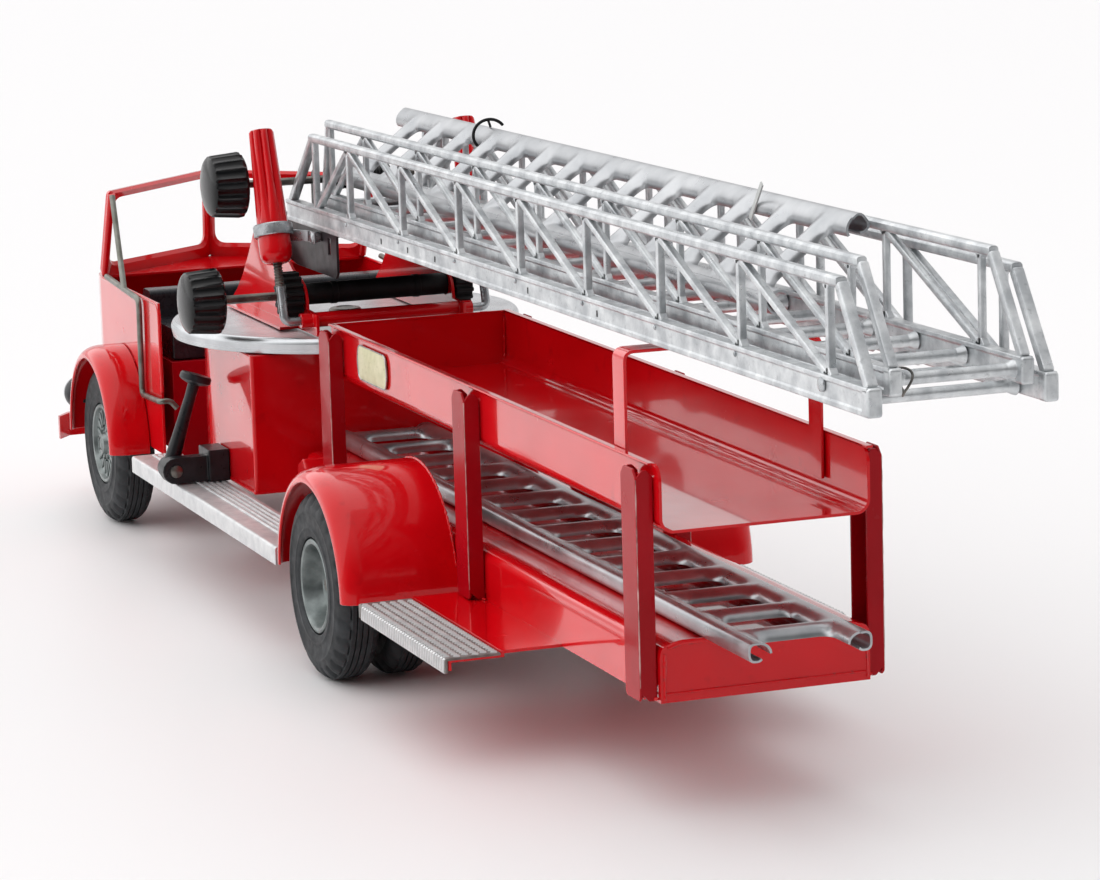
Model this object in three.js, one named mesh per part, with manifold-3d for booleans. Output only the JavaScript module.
// A large pressed-steel toy fire engine with a die-cast aerial ladder on a turntable.
// Millimetres, +X towards the cab, +Y to the left side, +Z up. While it is drawn, x = 0 is the
// rear axle and z = 0 is the ground; at the end the whole group is moved so that its origin is the
// middle of the bottom of its bounding box.
import * as THREE from 'three';
import { mergeVertices } from 'three/addons/utils/BufferGeometryUtils.js';
import Module from 'manifold-3d';

const wasm = await Module();
wasm.setup();

// ---------------------------------------------------------------- driving dimensions
const GAP = 0.3; // left between pieces that touch
const SHEET = 1.0; // pressed sheet thickness

const TYRE_RADIUS = 31.75; // a 2.5 inch tyre
const TYRE_WIDTH = 16;
const HUB_RADIUS = 16.1;
const WHEELBASE = 303;
const REAR_OUTER_TYRE_Y = 63.9;
const REAR_INNER_TYRE_Y = 44.5;
const FRONT_TYRE_Y = 60.7;
const AXLE_RADIUS = 2.4;
const WHEEL_SEGMENTS = 20;

const BED = { rear: -217.4, front: 131, halfWidth: 33.1, top: 52.7, bottom: 35.3, edgeRadius: 4 };
const TRAY = { rear: -219.3, front: 94, halfWidth: 33, floor: 85.3, top: 105.3, cornerRadius: 4 };
const POST = { rearEdges: [-215.6, -65.9, 79.7], length: 12, outer: 38.75, top: 104, chamfer: 2.5 };
const STRAP = { x: -185.6, width: 9, top: 134.3, halfWidth: 31.6, foot: 90.8 };
const FENDER = { outer: 73, radius: 40, opening: 34.6, bottom: 32.6, shoulderDrop: 4.4, shoulderReach: 7.5 };
const FRONT_FENDER_STRETCH = 0.92; // the front arch is a little narrower than it is high
const BOARD = { rear: 44.6, front: 240.9, inner: 52.2, outer: 71.4, top: 36.9, flange: 6.4 };
const STEP = { rear: -136.5, front: -50, treadInner: 53.3, outer: 71.7, top: 36.2, flange: 5.5 };
const RIGHT_STEP = { ...STEP, outer: 62.4 }; // the right rear step is narrower
const BOX = { rear: 137, front: 229, halfWidth: 51.2, top: 89.1, bottom: 37.3, noseRadius: 36 };
const CAB = { rear: 246, side: 57, top: 95.2, bottom: 35.3, noseStart: 336, noseLength: 42, floor: 61 };
const SEAT = { rear: 250, backRear: 284, front: 304, half: 50, base: 71, shelf: 84, back: 95, cushion: 78 };
const CHASSIS = { rear: -60, front: 350, inner: 20, outer: 23, low: 26.5 };
const STEERING = { x: 312, y: 26, z: 77, lean: THREE.MathUtils.degToRad(35), ring: 8.5, column: 24 };
const JACK = { y: 71.8, z: 42.3, lean: THREE.MathUtils.degToRad(19), reach: 34 };
const TURNTABLE = { x: 183.5, radius: 66, top: 95.5, rim: 6 };

const PIVOT = { x: 190, z: 128 }; // hinge of the ladder on the A-frame
const REST_PITCH = THREE.MathUtils.degToRad(0.42); // the bedded ladder points slightly upwards
const A_PLATE = { inner: 27.6, outer: 28.8 };
const LIFT_FOOT = { x: 132.3, z: 101.2 }; // axis of the cross tube under the lift rods
const LIFT_HEAD = { x: 129, z: 132 }; // where the lift cylinders hinge on the ladder
const LIFT_LEAN = THREE.MathUtils.degToRad(17); // the lift rods lean towards the cab
const LIFT_Y = 39;
const LIFT_SHAFT = { x: 146, z: 109, radius: 1.7 };
const WINCH_SHAFT = { x: 158.2, z: 149.3, radius: 1.5 };
const KNOB = { innerRadius: 12.2, outerRadius: 11, length: 14.6, ribs: 14 };

const MAIN = {
  tip: -350.3, topTip: -331.3, topBase: 134.5, base: 165.4, half: 27.1, wall: 4.2,
  bottom: 134.4, rail: 7.8, height: 34.3, rungDrop: 2.1, firstRung: -332.6,
};
const FLY = {
  tip: -349.4, topTip: -330.4, topBase: 134.6, base: 143.4, half: 20.6, wall: 3.8,
  bottom: 139.3, rail: 7.3, height: 34.1, rungDrop: 3.6, firstRung: -344.2,
};
const TRUSS_BAY = 59.1;
const TRUSS_LAST_POST = -322.9;
const TRUSS_POSTS = 8;
const RUNG_PITCH = TRUSS_BAY / 2;
const RUNG_RADIUS = 1.7;

const GROUND_LADDER = {
  length: 400, railSpacing: 33.4, railWidth: 4.8, railHeight: 5.8, rungs: 14, rungPitch: 28, firstRung: 17,
};

// ---------------------------------------------------------------- finishes
const finish = (color, roughness, metalness) => ({ color, roughness, metalness });
const RED = finish(0xc20f16, 0.25, 0.1);
const ALUMINIUM = finish(0xc9cccf, 0.35, 0.9);
const DIE_CAST = finish(0xa9afb3, 0.45, 0.8);
const STEEL = finish(0x8f9498, 0.3, 0.9);
const BLUED = finish(0x33343c, 0.4, 0.7);
const BLACK = finish(0x17181a, 0.5, 0.1);
const RUBBER = finish(0x2b2d30, 0.85, 0);
const GALVANISED = finish(0xa5b1ae, 0.4, 0.8);
const PAPER = finish(0xcfc9a4, 0.6, 0.1);

// ---------------------------------------------------------------- solids
// Turns a closed three.js geometry into a solid that can be joined and cut.
function solid(geometry) {
  const bare = geometry.clone();
  bare.deleteAttribute('normal');
  bare.deleteAttribute('uv');
  const merged = mergeVertices(bare, 1e-4);
  const points = merged.attributes.position.array;
  const faces = [];
  const index = merged.index.array;
  for (let i = 0; i < index.length; i += 3) {
    const [a, b, c] = [index[i], index[i + 1], index[i + 2]];
    if (a !== b && b !== c && c !== a) faces.push([a, b, c]);
  }
  const corner = (i) => new THREE.Vector3().fromArray(points, 3 * i);
  let volume = 0;
  for (const [a, b, c] of faces) volume += corner(a).dot(corner(b).cross(corner(c)));
  const outward = volume > 0 ? faces : faces.map(([a, b, c]) => [a, c, b]);
  return new wasm.Manifold(new wasm.Mesh({
    numProp: 3,
    vertProperties: new Float32Array(points),
    triVerts: new Uint32Array(outward.flat()),
  }));
}

// A box given by its low and high corner on each axis.
function block(x0, x1, y0, y1, z0, z1) {
  const geometry = new THREE.BoxGeometry(x1 - x0, y1 - y0, z1 - z0);
  return solid(geometry.translate((x0 + x1) / 2, (y0 + y1) / 2, (z0 + z1) / 2));
}

// A shape drawn in the plane across an axis and pushed along that axis. Points across 'x' are
// (y, z), points across 'y' are (x, z) and points across 'z' are (x, y).
function prism(shape, axis, from, to, curveSegments = 4) {
  const drawn = () => new THREE.Shape(shape.map(([u, v]) => new THREE.Vector2(u, v)));
  const outline = Array.isArray(shape) ? drawn() : shape;
  const options = { depth: to - from, bevelEnabled: false, curveSegments };
  const geometry = new THREE.ExtrudeGeometry(outline, options).translate(0, 0, from);
  const turn = new THREE.Matrix4();
  if (axis === 'x') turn.set(0, 0, 1, 0, 1, 0, 0, 0, 0, 1, 0, 0, 0, 0, 0, 1);
  if (axis === 'y') turn.set(1, 0, 0, 0, 0, 0, 1, 0, 0, 1, 0, 0, 0, 0, 0, 1);
  return solid(geometry.applyMatrix4(turn));
}

// A straight round bar from one point to another.
function rod(from, to, radius, sides = 12, endRadius = radius) {
  const a = new THREE.Vector3(...from);
  const b = new THREE.Vector3(...to);
  const geometry = new THREE.CylinderGeometry(endRadius, radius, a.distanceTo(b), sides);
  const up = new THREE.Vector3(0, 1, 0);
  geometry.applyQuaternion(new THREE.Quaternion().setFromUnitVectors(up, b.clone().sub(a).normalize()));
  const middle = a.add(b).multiplyScalar(0.5);
  return solid(geometry.translate(middle.x, middle.y, middle.z));
}

// A straight square bar between two points of a plane y = constant.
function strut(x0, z0, x1, z1, y0, y1, thickness) {
  const length = Math.hypot(x1 - x0, z1 - z0);
  const [nx, nz] = [(-(z1 - z0) / length) * thickness / 2, ((x1 - x0) / length) * thickness / 2];
  return prism([[x0 + nx, z0 + nz], [x0 - nx, z0 - nz], [x1 - nx, z1 - nz], [x1 + nx, z1 + nz]], 'y', y0, y1);
}

// A round wire along straight stretches joined by bends.
function wire(points, radius, bend, sides = 8, steps = 26) {
  const path = new THREE.CurvePath();
  const stops = points.map((p) => new THREE.Vector3(...p));
  let start = stops[0];
  for (let i = 1; i < stops.length - 1; i++) {
    const back = stops[i - 1].clone().sub(stops[i]).setLength(bend).add(stops[i]);
    const ahead = stops[i + 1].clone().sub(stops[i]).setLength(bend).add(stops[i]);
    path.add(new THREE.LineCurve3(start, back));
    path.add(new THREE.QuadraticBezierCurve3(back, stops[i], ahead));
    start = ahead;
  }
  path.add(new THREE.LineCurve3(start, stops[stops.length - 1]));
  const section = new THREE.Shape();
  for (let i = 0; i < sides; i++) {
    const angle = (2 * Math.PI * (i + 0.5)) / sides;
    const corner = [radius * Math.cos(angle), radius * Math.sin(angle)];
    if (i === 0) section.moveTo(...corner);
    else section.lineTo(...corner);
  }
  return solid(new THREE.ExtrudeGeometry(section, { extrudePath: path, steps, bevelEnabled: false }));
}

// A turned body about a lateral axis. Profile points are (radius, y); one flat lies at the bottom.
function turned(profile, x, z, segments = WHEEL_SEGMENTS) {
  const reach = 1 / Math.cos(Math.PI / segments);
  const closed = [...profile, profile[0]].map(([r, y]) => new THREE.Vector2(r * reach, y));
  const geometry = new THREE.LatheGeometry(closed, segments, Math.PI / segments);
  return solid(geometry.translate(x, 0, z));
}

const join = (...pieces) => pieces.flat().reduce((sum, piece) => sum.add(piece));
const cut = (body, ...tools) => tools.flat().reduce((rest, tool) => rest.subtract(tool), body);
const mirror = (body) => body.mirror([0, 1, 0]);

// ---------------------------------------------------------------- the scene graph
const engine = new THREE.Group();
const aerial = new THREE.Group(); // everything that tilts with the ladder, at its bedded pitch
engine.add(aerial);
const toAerial = new THREE.Matrix4().makeTranslation(-PIVOT.x, 0, -PIVOT.z);
aerial.position.set(PIVOT.x, 0, PIVOT.z);
aerial.rotation.y = REST_PITCH;

function add(name, body, { color, roughness, metalness }, parent = engine) {
  const mesh = body.getMesh();
  const geometry = new THREE.BufferGeometry();
  geometry.setAttribute('position', new THREE.BufferAttribute(new Float32Array(mesh.vertProperties), 3));
  geometry.setIndex(new THREE.BufferAttribute(new Uint32Array(mesh.triVerts), 1));
  if (parent === aerial) geometry.applyMatrix4(toAerial);
  geometry.computeVertexNormals();
  const piece = new THREE.Mesh(geometry, new THREE.MeshStandardMaterial({ color, roughness, metalness }));
  piece.name = name;
  parent.add(piece);
}

// Adds a left piece and its mirror image on the right.
function addPair(name, left, look, parent = engine) {
  add(`${name}_left`, left, look, parent);
  add(`${name}_right`, mirror(left), look, parent);
}

// ---------------------------------------------------------------- wheels and chassis
function tyre(x, y) {
  const [w, r] = [TYRE_WIDTH / 2, TYRE_RADIUS];
  const bore = HUB_RADIUS + GAP;
  return turned([[bore, y - w + 1], [r - 5, y - w], [r, y - w + 3.6], [r, y + w - 3.6], [r - 5, y + w],
    [bore, y + w - 1]], x, r);
}

// A spun wheel disc that fills the tyre bore, dished on its outer side.
function hub(x, from, to, dish) {
  const r = HUB_RADIUS;
  const bore = AXLE_RADIUS + 0.15;
  return turned([[bore, from], [r, from], [r, to], [r - 2.6, to], [r - 4.4, to - dish], [bore, to - dish]], x,
    TYRE_RADIUS, 16);
}

function wheels() {
  const half = TYRE_WIDTH / 2;
  addPair('rear_outer_tyre', tyre(0, REAR_OUTER_TYRE_Y), RUBBER);
  addPair('rear_inner_tyre', tyre(0, REAR_INNER_TYRE_Y), RUBBER);
  addPair('front_tyre', tyre(WHEELBASE, FRONT_TYRE_Y), RUBBER);
  addPair('rear_hub', hub(0, REAR_INNER_TYRE_Y - half + 2, REAR_OUTER_TYRE_Y + half - 1, 7.5), GALVANISED);
  addPair('front_hub', hub(WHEELBASE, FRONT_TYRE_Y - half + 2, FRONT_TYRE_Y + half - 1, 3), GALVANISED);
  const rearEnd = REAR_OUTER_TYRE_Y + half - 5;
  const frontEnd = FRONT_TYRE_Y + half - 1;
  add('rear_axle', rod([0, -rearEnd, TYRE_RADIUS], [0, rearEnd, TYRE_RADIUS], AXLE_RADIUS, 16), STEEL);
  const front = rod([WHEELBASE, -frontEnd, TYRE_RADIUS], [WHEELBASE, frontEnd, TYRE_RADIUS], AXLE_RADIUS, 16);
  add('front_axle', front, STEEL);
}

// Two folded side members with cross members; both axles turn in holes through it.
function chassis() {
  const { rear, front, inner, outer, low } = CHASSIS;
  const high = BED.bottom - GAP;
  const sides = [block(rear, front, inner, outer, low, high), block(rear, front, -outer, -inner, low, high)];
  const cross = (x) => block(x, x + 10, -outer, outer, high - 2, high);
  const crosses = [rear, 50, 150, 235, front - 10].map(cross);
  const bore = (x) => rod([x, -30, TYRE_RADIUS], [x, 30, TYRE_RADIUS], AXLE_RADIUS + 0.2, 16);
  const bores = [0, WHEELBASE].map(bore);
  add('chassis_frame', cut(join(sides, crosses), bores), BLUED);
}

// ---------------------------------------------------------------- body pressings
// A rectangle across the truck with its two upper (or lower) corners rounded.
function roundedSection(half, low, high, radius, roundTop) {
  const shape = new THREE.Shape();
  const [flat, round, turn] = roundTop ? [low, high, -1] : [high, low, 1];
  shape.moveTo(-half, flat);
  shape.lineTo(half, flat);
  shape.lineTo(half, round + turn * radius);
  shape.quadraticCurveTo(half, round, half - radius, round);
  shape.lineTo(radius - half, round);
  shape.quadraticCurveTo(-half, round, -half, round + turn * radius);
  return shape;
}

// The lower bed: a pressed box, open underneath, that closes the tail with its rear panel.
function bed() {
  const { rear, front, halfWidth, top, bottom, edgeRadius } = BED;
  const skin = prism(roundedSection(halfWidth, bottom, top, edgeRadius, true), 'x', rear, front);
  const hollow = roundedSection(halfWidth - SHEET, bottom - 1, top - SHEET, edgeRadius - SHEET, true);
  const box = cut(skin, prism(hollow, 'x', rear + SHEET, front - SHEET));
  add('bed', join(box, stepPan(STEP), mirror(stepPan(RIGHT_STEP))), RED);
}

// The red sheet that runs out from the bed side and drops by a joggle under a rear step.
function stepPan(step) {
  const low = step.top - 0.8 - GAP;
  const [rear, front] = [step.rear + 0.4, step.front - 0.4];
  const [inner, joggle, outer] = [BED.halfWidth - SHEET / 2, step.treadInner - GAP, step.outer - 1.6];
  return join(
    block(rear, front, inner, joggle, step.top - SHEET, step.top),
    block(rear, front, joggle - SHEET, joggle, low - SHEET, step.top),
    block(rear, front, joggle - SHEET, outer, low - SHEET, low),
    block(rear, front, outer - SHEET, outer, low - 3.5, low),
  );
}

// The upper tray: floor, two side walls with narrow outward lips and a front wall, open at the tail.
// Its six posts are welded to it.
function tray() {
  const { rear, front, halfWidth, floor, top, cornerRadius } = TRAY;
  const skin = prism(roundedSection(halfWidth, floor, top, cornerRadius, false), 'x', rear, front);
  const hollow = roundedSection(halfWidth - SHEET, floor + SHEET, top + 1, cornerRadius - SHEET, false);
  const lip = block(rear + 0.5, front - 0.5, halfWidth - SHEET / 2, halfWidth + 1.4, top - 0.9, top - 0.1);
  const pan = join(cut(skin, prism(hollow, 'x', rear - 1, front - SHEET)), lip, mirror(lip));
  const left = join(posts());
  add('upper_tray', join(pan, left, mirror(left)), RED);
}

// The left posts: folded channels, chamfered at the top, each with a weld pad against the tray.
function posts() {
  const { length, outer, top, chamfer } = POST;
  const inner = BED.halfWidth + GAP;
  return POST.rearEdges.map((x, i) => {
    const foot = i === 0 ? BED.bottom + 0.5 : STEP.top + GAP;
    const web = [[x, foot], [x + length, foot], [x + length, top - chamfer], [x + length - chamfer, top],
      [x + chamfer, top], [x, top - chamfer]];
    const fold = block(x + SHEET, x + length - SHEET, 0, outer - SHEET, 0, 200);
    const channel = cut(prism(web, 'y', inner, outer), fold);
    const pad = block(x + 0.2, x + length - 0.2, TRAY.halfWidth - 0.4, inner + 0.8, TRAY.floor + 5, top - 3);
    return join(channel, pad);
  });
}

// An inverted U of strap stands in the tray near the tail; the bedded ladder rests on it.
function ladderRest() {
  const { x, width, top, halfWidth, foot } = STRAP;
  const leg = block(x - width / 2, x + width / 2, halfWidth - SHEET, halfWidth, foot, top);
  const bridge = block(x - width / 2, x + width / 2, -halfWidth, halfWidth, top - SHEET, top);
  add('ladder_rest', join(leg, mirror(leg), bridge), RED);
}

// Half of a turned arch with a soft outer shoulder, cut off above its bottom edge.
function fender(x, inner, stretch) {
  const { outer, radius: r, opening, bottom, shoulderDrop, shoulderReach } = FENDER;
  const shoulder = (inset) => [0, 30, 60, 90].map((deg) => {
    const a = THREE.MathUtils.degToRad(deg);
    const [drop, reach] = [(shoulderDrop - inset) * Math.cos(a), (shoulderReach - inset) * Math.sin(a)];
    return [r - shoulderDrop + drop, outer - shoulderReach + reach];
  });
  const skin = [[r, inner], ...shoulder(0), [opening, outer], [opening, outer - SHEET],
    ...shoulder(SHEET).reverse(), [r - SHEET, inner]];
  const arch = turned(skin, 0, TYRE_RADIUS, 24);
  const half = cut(arch, block(-60, 60, 0, 90, -30, bottom));
  return half.scale([stretch, 1, 1]).translate([x, 0, 0]);
}

function fenders() {
  addPair('rear_fender', fender(0, BED.halfWidth + GAP, 1), RED);
  addPair('front_fender', fender(WHEELBASE, CAB.side + GAP, FRONT_FENDER_STRETCH), RED);
}

// Running boards and rear steps: flanged aluminium treads.
function treads() {
  const tread = ({ rear, front, outer, top, flange }, inner) => join(
    block(rear, front, inner, outer, top - 0.8, top),
    block(rear, front, outer - 0.8, outer, top - flange, top),
  );
  addPair('running_board', tread(BOARD, BOARD.inner), ALUMINIUM);
  add('rear_step_tread_left', tread(STEP, STEP.treadInner), ALUMINIUM);
  add('rear_step_tread_right', mirror(tread(RIGHT_STEP, STEP.treadInner)), ALUMINIUM);
}

// The box that carries the turntable, with large rounded corners towards the cab. The front end of
// the ladder on the bed reaches in through a slot in its rear face.
function turntableBox() {
  const outline = (inset) => {
    const { rear, front, halfWidth, noseRadius } = BOX;
    const [x0, x1, y, r] = [rear + inset, front - inset, halfWidth - inset, noseRadius - inset];
    const shape = new THREE.Shape();
    shape.moveTo(x0, -y);
    shape.lineTo(x1 - r, -y);
    shape.absarc(x1 - r, r - y, r, -Math.PI / 2, 0, false);
    shape.lineTo(x1, y - r);
    shape.absarc(x1 - r, y - r, r, 0, Math.PI / 2, false);
    shape.lineTo(x0, y);
    return shape;
  };
  const skin = prism(outline(0), 'z', BOX.bottom, BOX.top, 8);
  const shell = cut(skin, prism(outline(SHEET), 'z', BOX.bottom - 1, BOX.top - SHEET, 8));
  const x = TURNTABLE.x;
  const bearing = rod([x, 0, BOX.top - SHEET], [x, 0, TURNTABLE.top - 1.5 - GAP], 20, 20);
  const ladderSlot = block(BOX.rear - 1, BOX.rear + SHEET + 1, -23, 23, BED.top + GAP, 66);
  add('turntable_box', cut(join(shell, bearing), ladderSlot), RED);
}

// The open cab: straight sides, a rounded nose closed on top by the cowl, arches over the tyres.
function cab() {
  const outline = (inset, noseEnd) => {
    const { rear, side, noseStart } = CAB;
    const y = side - inset;
    const shape = new THREE.Shape();
    shape.moveTo(rear - inset * 2, -y);
    shape.lineTo(noseStart, -y);
    if (noseEnd > 0) shape.absellipse(noseStart, 0, noseEnd, y, -Math.PI / 2, Math.PI / 2, false);
    shape.lineTo(noseStart, y);
    shape.lineTo(rear - inset * 2, y);
    return shape;
  };
  const { bottom, top, floor, noseStart, noseLength } = CAB;
  const skin = prism(outline(0, noseLength), 'z', bottom, top, 8);
  const cockpit = prism(outline(SHEET, 0), 'z', bottom - 1, top + 1);
  const bonnet = prism(outline(SHEET, noseLength - SHEET), 'z', bottom - 1, top - SHEET, 8);
  const arch = rod([WHEELBASE, -80, TYRE_RADIUS], [WHEELBASE, 80, TYRE_RADIUS], 35.2, 32);
  const archLow = block(WHEELBASE - 35, WHEELBASE + 35, -80, 80, 0, TYRE_RADIUS);
  const notch = block(WHEELBASE - 39, WHEELBASE + 39, -FENDER.outer, FENDER.outer, 0, bottom + 0.2);
  add('cab_body', cut(skin, cockpit, bonnet, arch, archLow, notch), RED);

  const { rear: seatRear, front: seatFront, half, base, shelf, back, cushion } = SEAT;
  const floorHalf = half + 1.2;
  const pan = block(seatRear, noseStart - GAP, -floorHalf, floorHalf, bottom + 0.2, floor);
  const riser = block(seatRear, seatFront, -floorHalf, floorHalf, floor - 1, base);
  const apron = block(seatRear, seatRear + 1.5, CHASSIS.outer + 1, floorHalf, CHASSIS.low, bottom + 1);
  add('cab_floor', join(pan, riser, apron, mirror(apron)), RED);
  const low = base + GAP;
  const deck = block(seatRear + 2, SEAT.backRear + 1, -half, half, low, shelf);
  const rest = block(SEAT.backRear, SEAT.backRear + 12, -half, half, low, back);
  const pad = block(SEAT.backRear + 11, seatFront, -half, half, low, cushion);
  add('bench_seat', join(deck, rest, pad), BLACK);
  const grilleHalf = 13;
  const nose = noseStart + noseLength;
  add('grille', block(nose + GAP, nose + 2.3, -grilleHalf, grilleHalf, 44, 84), ALUMINIUM);
}

// A bar of the windscreen frame.
const frameBar = (from, to, radius) => rod(from, to, radius, 6);

function windscreen() {
  const [y, low, high] = [CAB.side - 1.6, CAB.top + GAP + 1.6, 130.6];
  const foot = [CAB.noseStart - 1.5, y, low];
  const head = [317.7, y, high];
  const centreFoot = [CAB.noseStart + CAB.noseLength - 2.2, 0, low];
  const centreHead = [CAB.noseStart + CAB.noseLength - 5, 0, high];
  const r = 1.6;
  const ball = ([a, b, c]) => solid(new THREE.SphereGeometry(r * 0.98, 6, 4).translate(a, b, c));
  const left = join(frameBar(foot, head, r), frameBar(head, centreHead, r), frameBar(foot, centreFoot, r),
    ball(foot), ball(head));
  const centre = frameBar(centreFoot, centreHead, r + 0.5);
  add('windscreen_frame', join(left, mirror(left), centre), RED);

  const [railY, railRadius] = [CAB.side + 1.5, 1.1];
  const brace = wire([[head[0] - 2.5, y, high - 1.9], [291.8, railY, 95.4]], railRadius, 5, 6, 4);
  const rail = wire([[320, railY, 97], [269, railY, 94], [270.5, railY, 55.8], [242.6, railY, 57],
    [242.6, 52, 57.2]], railRadius, 4.5, 6, 32);
  addPair('grab_rail', join(rail, brace), STEEL);
}

// The steering wheel, square to a column that leans down and forwards.
function steering() {
  const { x, y, z, lean, ring, column } = STEERING;
  const shaft = rod([x, y, z], [x + Math.cos(lean) * column, y, z - Math.sin(lean) * column], 1.6, 10);
  const spokes = [0, 1, 2].map((i) => {
    const a = (i * 2 * Math.PI) / 3;
    return rod([0, 0, 0], [(ring - 0.2) * Math.cos(a), (ring - 0.2) * Math.sin(a), 0], 0.8, 6);
  });
  const boss = rod([0, 0, -1.5], [0, 0, 1.5], 2.6, 10);
  const wheel = join(solid(new THREE.TorusGeometry(ring, 1.1, 5, 16)), spokes, boss);
  const square = wheel.rotate([0, 90 + THREE.MathUtils.radToDeg(lean), 0]).translate([x, y, z]);
  add('steering_wheel', join(square, shaft), BLACK);
}

// Front bumper, swept back at its ends, and the two headlamps on the fender noses.
function front() {
  const [x, half, r] = [384, 69, 10];
  const plan = [[x - r, half], [x - 2, half - 6], [x + 2, 0], [x - 2, 6 - half], [x - r, -half],
    [x - r - 2.5, -half], [x - 5, 6 - half], [x - 2, 0], [x - 5, half - 6], [x - r - 2.5, half]];
  const irons = [-22, 22].map((y) => block(CHASSIS.front + GAP, x - 2, y - 2, y + 2, 27, 31.5));
  add('front_bumper', join(prism(plan, 'z', 22.7, 32.4), irons), RED);
  const [lampY, lampZ] = [65, 46];
  const noseX = WHEELBASE + FENDER.radius * FRONT_FENDER_STRETCH;
  const pod = rod([noseX + 1.5, lampY, lampZ], [noseX + 9, lampY, lampZ], 5, 16, 7);
  const stalk = block(noseX - 4, noseX + 3, lampY - 2, lampY + 2, lampZ - 3.5, lampZ + 3);
  addPair('headlamp', cut(join(pod, stalk), fenderCore()), STEEL);
}

// The solid that the front arch encloses, with a little clearance, to trim what is fixed to it.
function fenderCore() {
  return rod([0, 0, TYRE_RADIUS], [0, 100, TYRE_RADIUS], FENDER.radius + GAP + 0.35, 36)
    .scale([FRONT_FENDER_STRETCH, 1, 1]).translate([WHEELBASE, 0, 0]);
}

// Swing-down stabilising jacks on brackets beside the turntable box.
function jacks() {
  const { y, z, lean, reach } = JACK;
  const inner = BOX.halfWidth + GAP;
  const eyeRadius = 5;
  const ear = prism([[inner, z - 4.9], [y, z - 4.9], [y, z + 4.9], [inner, z + 4.9]], 'x', 172, 178);
  const eye = rod([172, y, z], [178, y, z], eyeRadius, 16);
  const housing = block(170, 184.5, inner, 59.5, z - 4.9, z + 7.1);
  const rivet = rod([170.9, y, z], [183.6, y, z], 1.8, 12);
  addPair('jack_bracket', join(ear, eye, housing, rivet), BLACK);

  const up = (d) => [181, y - d * Math.sin(lean), z + d * Math.cos(lean)];
  const arm = join(
    rod([178.3, y, z], [183.3, y, z], 4.2, 16),
    rod(up(0), up(reach + 0.5), 2.6, 12, 2.2),
    rod(up(reach), up(reach + 2.6), 6, 16),
  );
  const bore = rod([170, y, z], [190, y, z], 2.1, 16);
  addPair('jack_arm', cut(arm, bore), BLACK);
}

// ---------------------------------------------------------------- turntable and lift gear
function turntable() {
  const { x, radius: r, top, rim } = TURNTABLE;
  const low = top - rim;
  const profile = [[0, top - 1.5], [r - 1.5, top - 1.5], [r - 1.5, low], [r - 0.4, low], [r, low + 0.8],
    [r, top - 1.6], [r - 1.2, top - 0.4], [r - 3, top], [0, top]].map(([a, b]) => new THREE.Vector2(a, b));
  const disc = solid(new THREE.LatheGeometry(profile, 32).rotateX(Math.PI / 2)).translate([x, 0, 0]);
  add('turntable_plate', cut(disc, rod([x, 0, 0], [x, 0, 120], 2.9, 16)), ALUMINIUM);
  const shank = rod([x, 0, top - 1.2], [x, 0, top + 1], 2.6, 16);
  add('turntable_bolt', join(shank, rod([x, 0, top + GAP], [x, 0, top + 2.6], 6.2, 20, 5)), STEEL);
}

// A folded A-frame: two cheek plates on feet, with the cross tube that the lift rods hinge in.
function aFrame() {
  const foot = TURNTABLE.top + GAP;
  const cheek = new THREE.Shape();
  cheek.moveTo(126, foot);
  cheek.lineTo(240, foot);
  cheek.quadraticCurveTo(222, 104, 203, 128);
  cheek.absarc(PIVOT.x, PIVOT.z, 7, 0.35, Math.PI * 0.75, false);
  cheek.lineTo(152, 116);
  cheek.quadraticCurveTo(139.5, 115, 138.3, 108);
  cheek.lineTo(138, 104.4);
  cheek.lineTo(126, 104);
  const plate = prism(cheek, 'y', A_PLATE.inner, A_PLATE.outer);
  const shoe = block(150, 222, A_PLATE.inner, A_PLATE.outer + 7, foot, foot + SHEET);
  const tube = rod([LIFT_FOOT.x, -33, LIFT_FOOT.z], [LIFT_FOOT.x, 33, LIFT_FOOT.z], 2.8, 12);
  const shaftBore = rod([LIFT_SHAFT.x, -60, LIFT_SHAFT.z], [LIFT_SHAFT.x, 60, LIFT_SHAFT.z], 4.4, 10);
  const pinBore = rod([PIVOT.x, -60, PIVOT.z], [PIVOT.x, 60, PIVOT.z], 2.3, 10);
  add('a_frame', cut(join(plate, mirror(plate), shoe, mirror(shoe), tube), shaftBore, pinBore), RED);
  const pin = A_PLATE.outer + 2.2;
  add('ladder_pivot_pin', rod([PIVOT.x, -pin, PIVOT.z], [PIVOT.x, pin, PIVOT.z], 2, 10), STEEL);
}

// A ribbed knob on a lateral axis, flared towards the body, with a domed outer face.
function knob({ x, z, radius }, inner, ribs) {
  const { innerRadius: a, outerRadius: b, length } = KNOB;
  const outer = inner + length;
  const bore = radius + 0.2;
  const profile = [[bore, inner], [a - 2, inner], [a, inner + 1.5], [b, outer - 3], [b - 3, outer - 0.8],
    [bore, outer], [bore, inner]].map(([r, y]) => new THREE.Vector2(r, y));
  const geometry = new THREE.LatheGeometry(profile, ribs * 2);
  const p = geometry.attributes.position;
  for (let i = 0; i < p.count; i++) {
    const onRib = Math.floor(i / profile.length) % 2 === 0;
    const depth = !onRib && Math.hypot(p.getX(i), p.getZ(i)) > b - 2 ? 0.93 : 1;
    p.setX(i, p.getX(i) * depth);
    p.setZ(i, p.getZ(i) * depth);
  }
  return solid(geometry.translate(x, 0, z));
}

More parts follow.
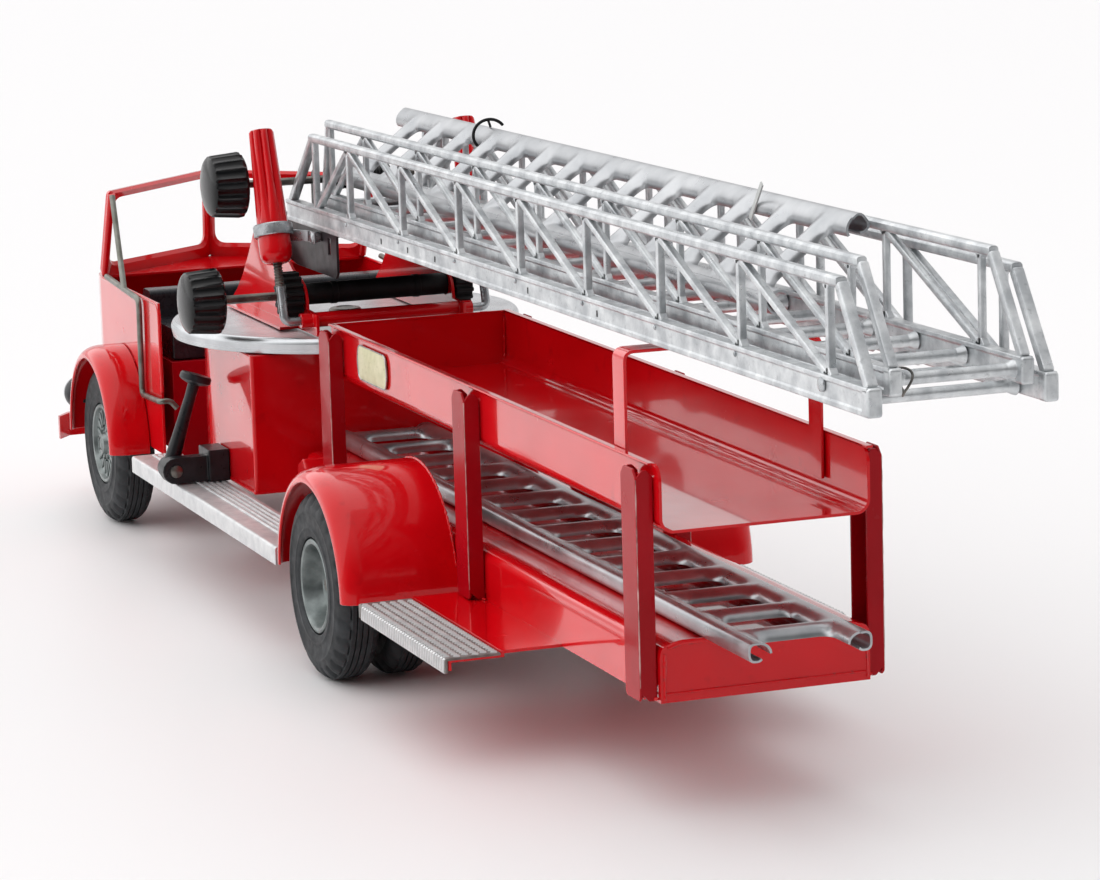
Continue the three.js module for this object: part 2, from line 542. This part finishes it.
function liftDrive() {
  const { x, z, radius } = LIFT_SHAFT;
  add('lift_shaft', rod([x, -36.5, z], [x, 73, z], radius, 6), STEEL);
  const teeth = 16;
  const outline = Array.from({ length: teeth * 2 }, (_, i) => {
    const r = i % 2 ? 7.6 : 8.8;
    const t = (Math.PI * (i + 0.5)) / teeth;
    return [x + r * Math.cos(t), z + r * Math.sin(t)];
  });
  const [gearInner, gearOuter] = [A_PLATE.outer + 0.6, 36.2];
  const gears = [prism(outline, 'y', gearInner, gearOuter), prism(outline, 'y', -gearOuter, -gearInner)];
  const sleeve = rod([x, -gearInner - 1, z], [x, gearInner + 1, z], 4, 16);
  add('lift_pinion', cut(join(sleeve, gears), rod([x, -50, z], [x, 50, z], radius + 0.25, 8)), BLACK);
  add('lift_knob', knob(LIFT_SHAFT, 59.6, KNOB.ribs), BLACK);
}

// Where a distance up the leaning lift axis lies, in the plane of the left lift rod.
const upLift = (d) => [LIFT_FOOT.x + d * Math.sin(LIFT_LEAN), LIFT_Y, LIFT_FOOT.z + d * Math.cos(LIFT_LEAN)];

// Threaded rods with a hooked foot stand in the cross tube's ends and slide in the lift cylinders.
function liftGear() {
  const stub = [LIFT_FOOT.x, 33 + GAP, LIFT_FOOT.z];
  addPair('lift_rod', wire([stub, upLift(0), upLift(67.4)], 1.6, 3.6, 8, 16), STEEL);

  const taper = [[0, 23.4], [3.4, 21.8], [5.2, 23], [6.1, 25.9], [6.1, 33.4], [4.5, 71.4], [0, 71.4]];
  const geometry = new THREE.LatheGeometry(taper.map(([r, d]) => new THREE.Vector2(r, d)), 16);
  const p = geometry.attributes.position;
  for (let i = 0; i < p.count; i++) {
    const angle = Math.atan2(p.getZ(i), p.getX(i));
    const fade = THREE.MathUtils.smoothstep(p.getY(i), 33.4, 61.4);
    const flute = 1 - 0.16 * fade * (0.5 - 0.5 * Math.cos(8 * angle));
    p.setX(i, p.getX(i) * flute);
    p.setZ(i, p.getZ(i) * flute);
  }
  const stand = (body) => body.rotate([90, 0, 0]).rotate([0, 17, 0]).translate(upLift(0));
  const ring = rod([0, 31.9, 0], [0, 36.4, 0], 7.1, 16);
  const { x, z } = LIFT_HEAD;
  const [strapInner, strapOuter] = [MAIN.half + GAP, MAIN.half + GAP + 1.1];
  const strap = prism([[x - 2.5, strapInner], [134, strapInner], [142, 33], [141, 34], [133.6, strapOuter],
    [x - 2.5, strapOuter]], 'z', z - 2, z + 2);
  const pin = rod([x, 25.4, z], [x, strapOuter, z], 1.9, 12);
  const bore = rod(upLift(0), upLift(70), 2.1, 12);
  addPair('lift_cylinder', cut(join(stand(solid(geometry)), stand(ring), strap, pin), bore), RED);
}

// ---------------------------------------------------------------- the aerial ladder
// A truss side: base rail, top chord, raked ends, posts and diagonals, all in one plane.
function trussSide(L) {
  const [y0, y1] = [L.half - L.wall, L.half];
  const railTop = L.bottom + L.rail;
  const top = L.bottom + L.height;
  const chord = 3;
  const web = 2.2;
  const [w0, w1] = [y0 + 0.9, y1 - 0.9];
  const mid = railTop - 0.6;
  const head = top - chord + 0.4;
  const posts = Array.from({ length: TRUSS_POSTS }, (_, i) => TRUSS_LAST_POST + TRUSS_BAY * i);
  const bars = [
    block(L.tip, L.base, y0, y1, L.bottom, railTop),
    block(L.topTip, L.topBase, y0 + 0.4, y1 - 0.2, top - chord, top),
    strut(L.tip + 2.5, mid, L.topTip + 1, head, w0 - 0.5, w1 + 0.5, chord),
    strut(L.base - 3, mid, L.topBase - 1.5, head, w0 - 0.5, w1 + 0.5, chord),
    ...posts.map((x) => strut(x, mid, x, head, w0, w1, web)),
    ...posts.slice(1).map((x, i) => strut(x, head, posts[i], mid, w0, w1, web)),
    strut(posts[TRUSS_POSTS - 1], head, L.topBase - 5, mid, w0, w1, web),
    strut(L.topBase - 3, mid, L.topBase - 3, head, w0, w1, web),
  ];
  return join(bars);
}

function trussLadder(L) {
  const side = trussSide(L);
  const reach = L.half - L.wall + 0.8;
  const z = L.bottom + L.rungDrop;
  const count = Math.floor((L.base - 6 - L.firstRung) / RUNG_PITCH) + 1;
  const rungs = Array.from({ length: count }, (_, i) => {
    const x = L.firstRung + i * RUNG_PITCH;
    return rod([x, -reach, z], [x, reach, z], RUNG_RADIUS, 8);
  });
  return join(side, mirror(side), rungs);
}

// A pressed ground ladder lying flat: two rolled rails and stamped rungs, rear end at x = 0.
function groundLadder() {
  const { length, railSpacing, railWidth, railHeight, rungs, rungPitch, firstRung } = GROUND_LADDER;
  const half = railSpacing / 2;
  const tube = rod([0, 0, 0], [length, 0, 0], railHeight / 2, 8)
    .scale([1, railWidth / railHeight, 1]).translate([0, half, 0]);
  const bars = Array.from({ length: rungs }, (_, i) => {
    const x = firstRung + i * rungPitch;
    return block(x - 4.6, x + 4.6, -half, half, -0.6, 2.4);
  });
  return join(tube, mirror(tube), bars);
}

function aerialLadder() {
  add('main_ladder', trussLadder(MAIN), DIE_CAST, aerial);
  add('fly_ladder', trussLadder(FLY), DIE_CAST, aerial);

  const top = MAIN.bottom - GAP;
  const cheek = [[110, 120], [112, 118], [160, 118], [186, 121], [197, 125], [198, 130], [194, top],
    [110, top]];
  const side = prism(cheek, 'y', 24.1, 25.1);
  const roof = block(110, 194, -25.1, 25.1, top - SHEET, top);
  const pinBore = rod([PIVOT.x, -60, PIVOT.z], [PIVOT.x, 60, PIVOT.z], 2.3, 10);
  const slot = block(117.3, 120.3, -60, 60, 126, 132);
  const { x, z, radius } = WINCH_SHAFT;
  const ear = join(block(x - 4, x + 4, 16.8, 18, top - SHEET, z), rod([x, 16.8, z], [x, 18, z], 4, 12));
  const earBore = rod([x, -30, z], [x, 30, z], radius + 0.25, 8);
  const yoke = cut(join(side, mirror(side), roof, ear, mirror(ear)), pinBore, slot, earBore);
  add('ladder_yoke', yoke, BLUED, aerial);

  add('winch_shaft', rod([x, -21, z], [x, 58.5, z], radius, 6), STEEL, aerial);
  const drum = rod([x, -11, z], [x, 11, z], 4.2, 16);
  add('winch_drum', cut(drum, rod([x, -40, z], [x, 40, z], radius + 0.25, 8)), BLACK, aerial);
  add('winch_knob', knob(WINCH_SHAFT, 45.6, KNOB.ribs), BLACK, aerial);
}

// One ground ladder rides tilted inside the fly ladder, the other lies on the bed.
function groundLadders() {
  const [lowY, lowZ, highY, highZ] = [12.1, 152.3, -13.1, 171.9];
  const tilt = THREE.MathUtils.radToDeg(Math.atan2(highZ - lowZ, lowY - highY));
  const stowed = groundLadder().rotate([-tilt, 0, 0])
    .translate([-258, (lowY + highY) / 2, (lowZ + highZ) / 2]);
  add('stowed_ladder', stowed, ALUMINIUM, aerial);
  const lying = groundLadder().translate([-252, 1, BED.top + GAP + GROUND_LADDER.railHeight / 2]);
  add('bed_ladder', lying, ALUMINIUM);
}

// A maker's-plate shaped blank on the tray side.
function badge() {
  const y = TRAY.halfWidth + GAP;
  add('badge_plate', block(29, 62, y, y + 0.6, 90.4, 102.4), PAPER);
}

wheels();
chassis();
bed();
tray();
ladderRest();
fenders();
treads();
turntableBox();
cab();
windscreen();
steering();
front();
jacks();
turntable();
aFrame();
liftDrive();
liftGear();
aerialLadder();
groundLadders();
badge();

engine.updateMatrixWorld(true);
const box = new THREE.Box3().setFromObject(engine, true);
engine.position.set(-(box.min.x + box.max.x) / 2, -(box.min.y + box.max.y) / 2, -box.min.z);

export default engine;
